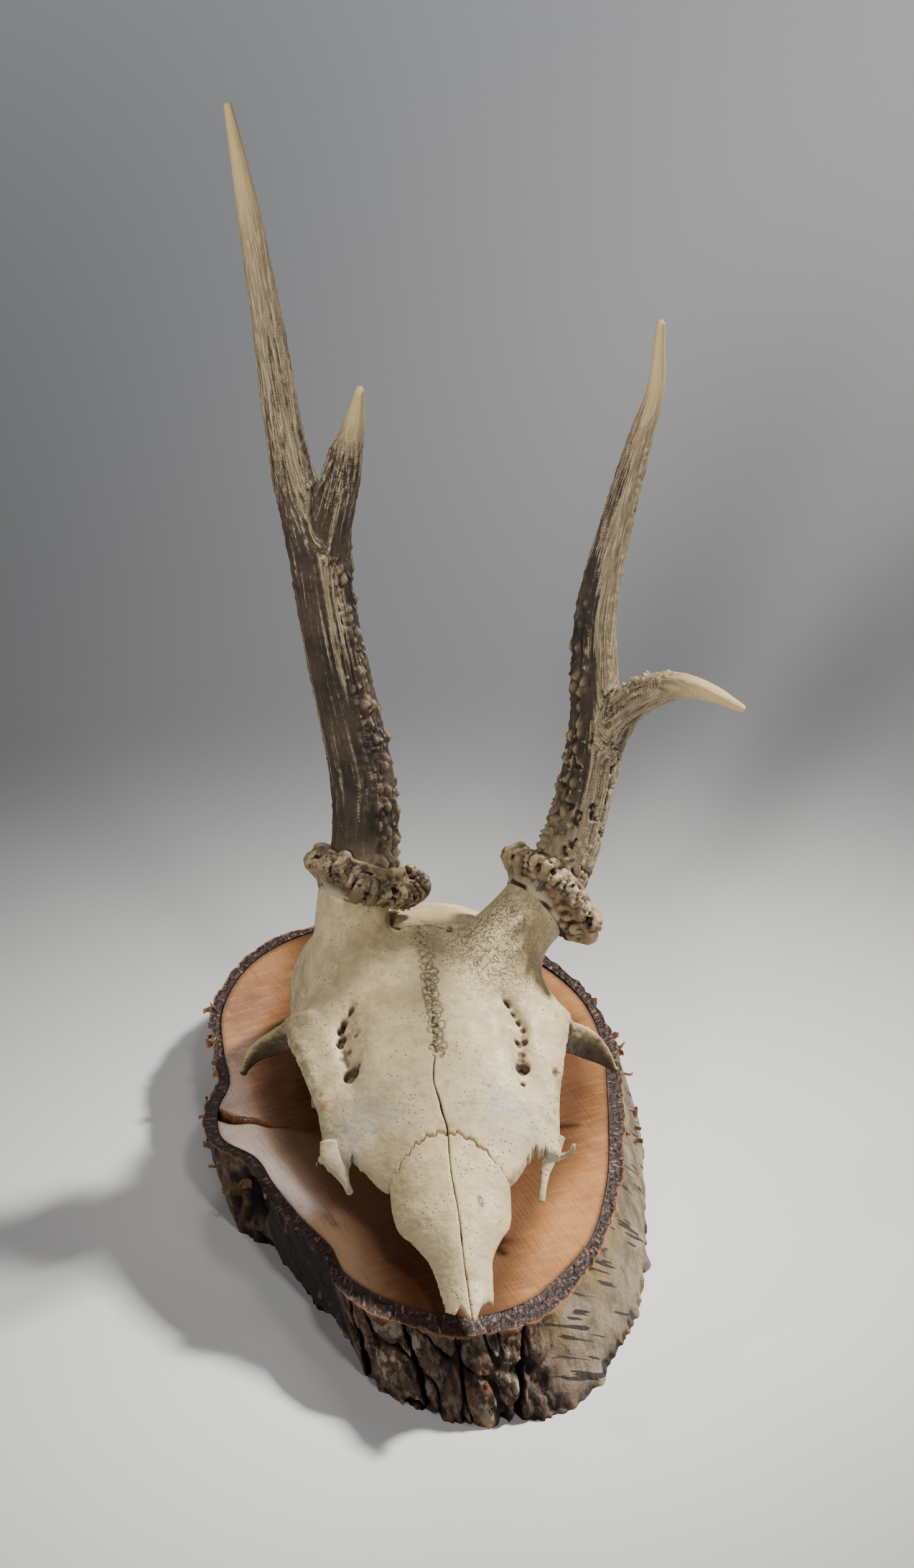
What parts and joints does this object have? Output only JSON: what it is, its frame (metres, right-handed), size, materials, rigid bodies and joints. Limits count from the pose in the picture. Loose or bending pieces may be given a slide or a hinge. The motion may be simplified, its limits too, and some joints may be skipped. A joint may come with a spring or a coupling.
{
  "type": "roe buck skull cap with antlers on a birch slice",
  "caption": "Mounted roe buck skull cap: nasal and frontal bones, domed braincase and two forked antlers on an oblique bark-edged birch slice, as a still life-size display model.",
  "frame": {"origin": "centre of the birch slice's flat back face", "axes": "+Z out of the sawn face and up along the antlers, -Y towards the nose, +X towards the animal's left"},
  "size_m": [0.121, 0.176, 0.2481],
  "materials": {
    "bone": "dry cream bone with a faint sheen on worn ridges",
    "antler": "dark brown grooved antler with pale rubbed ridges and tips",
    "coronet": "knobbly yellow-brown with dark pits",
    "wood": "glossy varnish over an orange-brown sawn face",
    "bark_dark": "rough dark fissured bark",
    "bark_white": "papery white-grey birch bark with dark lenticels"
  },
  "bodies": {
    "root": {"board_wood": "wood", "bark_left": "bark_white", "bark_rear": "bark_white", "bark_right": "bark_dark", "bark_front": "bark_dark", "frontal_right": "bone", "frontal_left": "bone", "lacrimal_right": "bone", "lacrimal_left": "bone", "nasal_right": "bone", "nasal_left": "bone", "braincase": "bone", "antler_right_coronet": "coronet", "antler_right_beam": "antler", "antler_right_top": "antler", "antler_right_tine": "antler", "antler_left_coronet": "coronet", "antler_left_beam": "antler", "antler_left_top": "antler", "antler_left_tine": "antler"}
  },
  "joints": []
}
